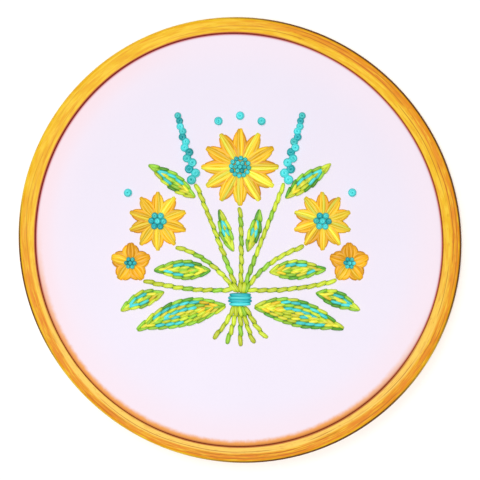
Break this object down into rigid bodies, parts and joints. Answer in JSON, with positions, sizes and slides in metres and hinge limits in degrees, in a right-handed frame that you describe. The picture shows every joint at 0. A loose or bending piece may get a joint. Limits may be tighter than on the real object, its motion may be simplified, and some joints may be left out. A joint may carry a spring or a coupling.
{
  "type": "embroidered cloth in a wooden hoop",
  "caption": "Round wooden hoop holding drum-tight white cotton stitched with a bright posy of daisies, leaves and knotted spikes; lies flat on its back or hangs as wall art.",
  "frame": {"origin": "centre of the hoop's back, on the surface it lies on", "axes": "+Z out of the stitched face, +Y to the top of the posy, +X to the right of the posy"},
  "size_m": [0.1644, 0.1656, 0.0128],
  "materials": {
    "wood": "satin",
    "cotton": "matte",
    "orange_thread": "satin",
    "yellow_thread": "satin",
    "lime_thread": "satin",
    "green_thread": "satin",
    "turquoise_thread": "satin"
  },
  "bodies": {
    "root": {"outer_ring": "wood", "inner_ring": "wood", "cloth": "cotton", "daisy_mid_petals": "orange_thread", "daisy_mid_eye": "turquoise_thread", "daisy_left_petals": "yellow_thread", "daisy_left_eye": "turquoise_thread", "daisy_right_petals": "yellow_thread", "daisy_right_eye": "turquoise_thread", "blossom_left_petals": "orange_thread", "blossom_left_eye": "turquoise_thread", "blossom_right_petals": "orange_thread", "blossom_right_eye": "turquoise_thread", "leaf_low_left": "green_thread", "leaf_low_right": "green_thread", "leaf_outer_left": "green_thread", "leaf_outer_right": "green_thread", "leaf_middle_left": "green_thread", "leaf_middle_right": "green_thread", "leaf_inner_left": "green_thread", "leaf_inner_right": "green_thread", "leaf_upper_left": "green_thread", "leaf_upper_right": "green_thread", "spike_left": "turquoise_thread", "spike_right": "turquoise_thread", "dot_top": "turquoise_thread", "dot_high_left": "turquoise_thread", "dot_high_right": "turquoise_thread", "dot_far_left": "turquoise_thread", "dot_far_right": "turquoise_thread", "stems": "lime_thread", "stem_tails": "lime_thread", "tie_band": "turquoise_thread"}
  },
  "joints": []
}
